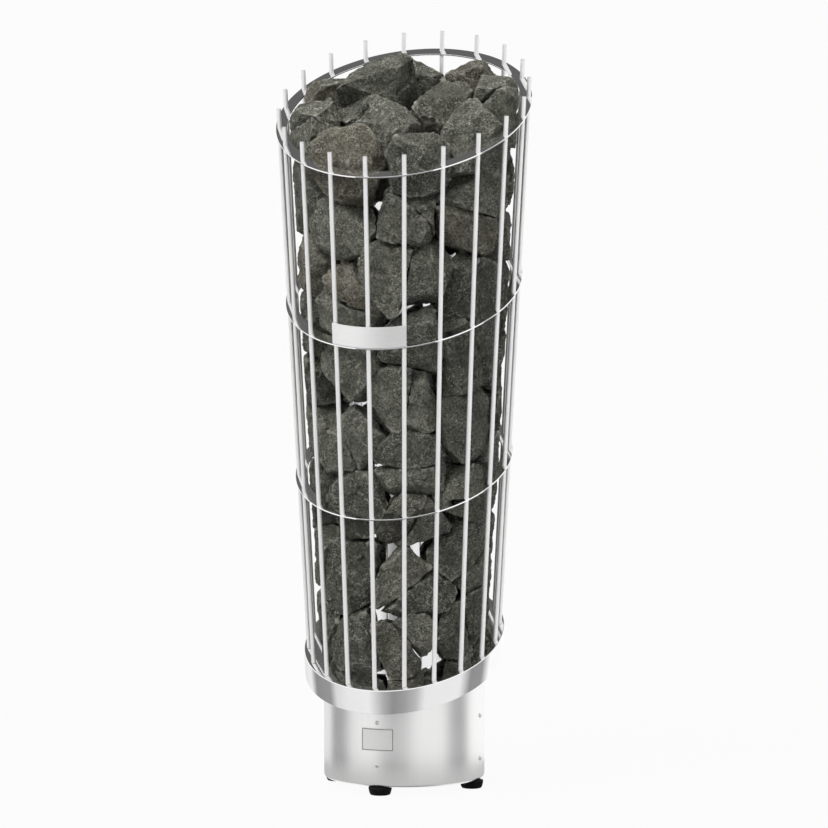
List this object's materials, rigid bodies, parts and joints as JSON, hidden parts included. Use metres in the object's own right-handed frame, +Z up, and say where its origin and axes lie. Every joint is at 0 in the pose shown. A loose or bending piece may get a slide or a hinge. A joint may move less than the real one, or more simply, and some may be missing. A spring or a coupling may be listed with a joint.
{
  "type": "sauna heater",
  "caption": "Tower sauna heater: a flaring cage of steel rods and sloping hoops full of stones round a heated tube, on a round base with levelling feet.",
  "frame": {"origin": "on the ground on the heater's upright axis, under the centre of the base", "axes": "+Z up along the axis, -Y towards the front with the label, +X to the right of someone looking along +Y from the front"},
  "size_m": [0.337, 0.3062, 0.9793],
  "materials": {
    "polished_steel": "polished stainless steel",
    "satin_steel": "satin stainless sheet with an upright grain",
    "frame_steel": "plain galvanised sheet",
    "zinc_steel": "bright zinc-plated",
    "label_foil": "blank satin foil",
    "element_sheath": "dull heat-darkened steel",
    "terminal_ceramic": "unglazed",
    "black_plastic": "moulded black",
    "sauna_stone": "rough broken faces, dark grey-green with pale specks"
  },
  "bodies": {
    "heater": {"cage_rod_01": "polished_steel", "cage_rod_02": "polished_steel", "cage_rod_03": "polished_steel", "cage_rod_04": "polished_steel", "cage_rod_05": "polished_steel", "cage_rod_06": "polished_steel", "cage_rod_07": "polished_steel", "cage_rod_08": "polished_steel", "cage_rod_09": "polished_steel", "cage_rod_10": "polished_steel", "cage_rod_11": "polished_steel", "cage_rod_12": "polished_steel", "cage_rod_13": "polished_steel", "cage_rod_14": "polished_steel", "cage_rod_15": "polished_steel", "cage_rod_16": "polished_steel", "cage_rod_17": "polished_steel", "cage_rod_18": "polished_steel", "cage_rod_19": "polished_steel", "cage_rod_20": "polished_steel", "top_hoop": "polished_steel", "middle_hoop": "polished_steel", "lower_hoop": "polished_steel", "stone_floor": "polished_steel", "inner_tube": "polished_steel", "nameplate": "satin_steel", "base_shell": "satin_steel", "base_label": "label_foil", "base_frame": "frame_steel", "element_plate": "frame_steel", "heating_element_1": "element_sheath", "heating_element_2": "element_sheath", "heating_element_3": "element_sheath", "terminal_block": "terminal_ceramic", "cable_gland": "black_plastic", "base_screw_front_lower": "zinc_steel", "base_screw_front_upper": "zinc_steel", "base_screw_right_lower": "zinc_steel", "base_screw_right_upper": "zinc_steel", "base_screw_back_lower": "zinc_steel", "base_screw_back_upper": "zinc_steel", "base_screw_left_lower": "zinc_steel", "base_screw_left_upper": "zinc_steel", "stone_stack_1": "sauna_stone", "stone_stack_2": "sauna_stone", "stone_stack_3": "sauna_stone", "stone_stack_4": "sauna_stone", "stone_stack_5": "sauna_stone", "stone_stack_6": "sauna_stone", "stone_stack_7": "sauna_stone", "stone_stack_8": "sauna_stone", "stone_heap": "sauna_stone"},
    "foot_front": {"foot_pad_front": "black_plastic", "foot_stud_front": "zinc_steel"},
    "foot_right": {"foot_pad_right": "black_plastic", "foot_stud_right": "zinc_steel"},
    "foot_back": {"foot_pad_back": "black_plastic", "foot_stud_back": "zinc_steel"},
    "foot_left": {"foot_pad_left": "black_plastic", "foot_stud_left": "zinc_steel"}
  },
  "joints": [
    {"name": "foot_front_thread", "type": "slide", "parent": "heater", "child": "foot_front", "axis": [0, 0, 1], "range_m": [-0.012, 0]},
    {"name": "foot_right_thread", "type": "slide", "parent": "heater", "child": "foot_right", "axis": [0, 0, 1], "range_m": [-0.012, 0]},
    {"name": "foot_back_thread", "type": "slide", "parent": "heater", "child": "foot_back", "axis": [0, 0, 1], "range_m": [-0.012, 0]},
    {"name": "foot_left_thread", "type": "slide", "parent": "heater", "child": "foot_left", "axis": [0, 0, 1], "range_m": [-0.012, 0]}
  ]
}
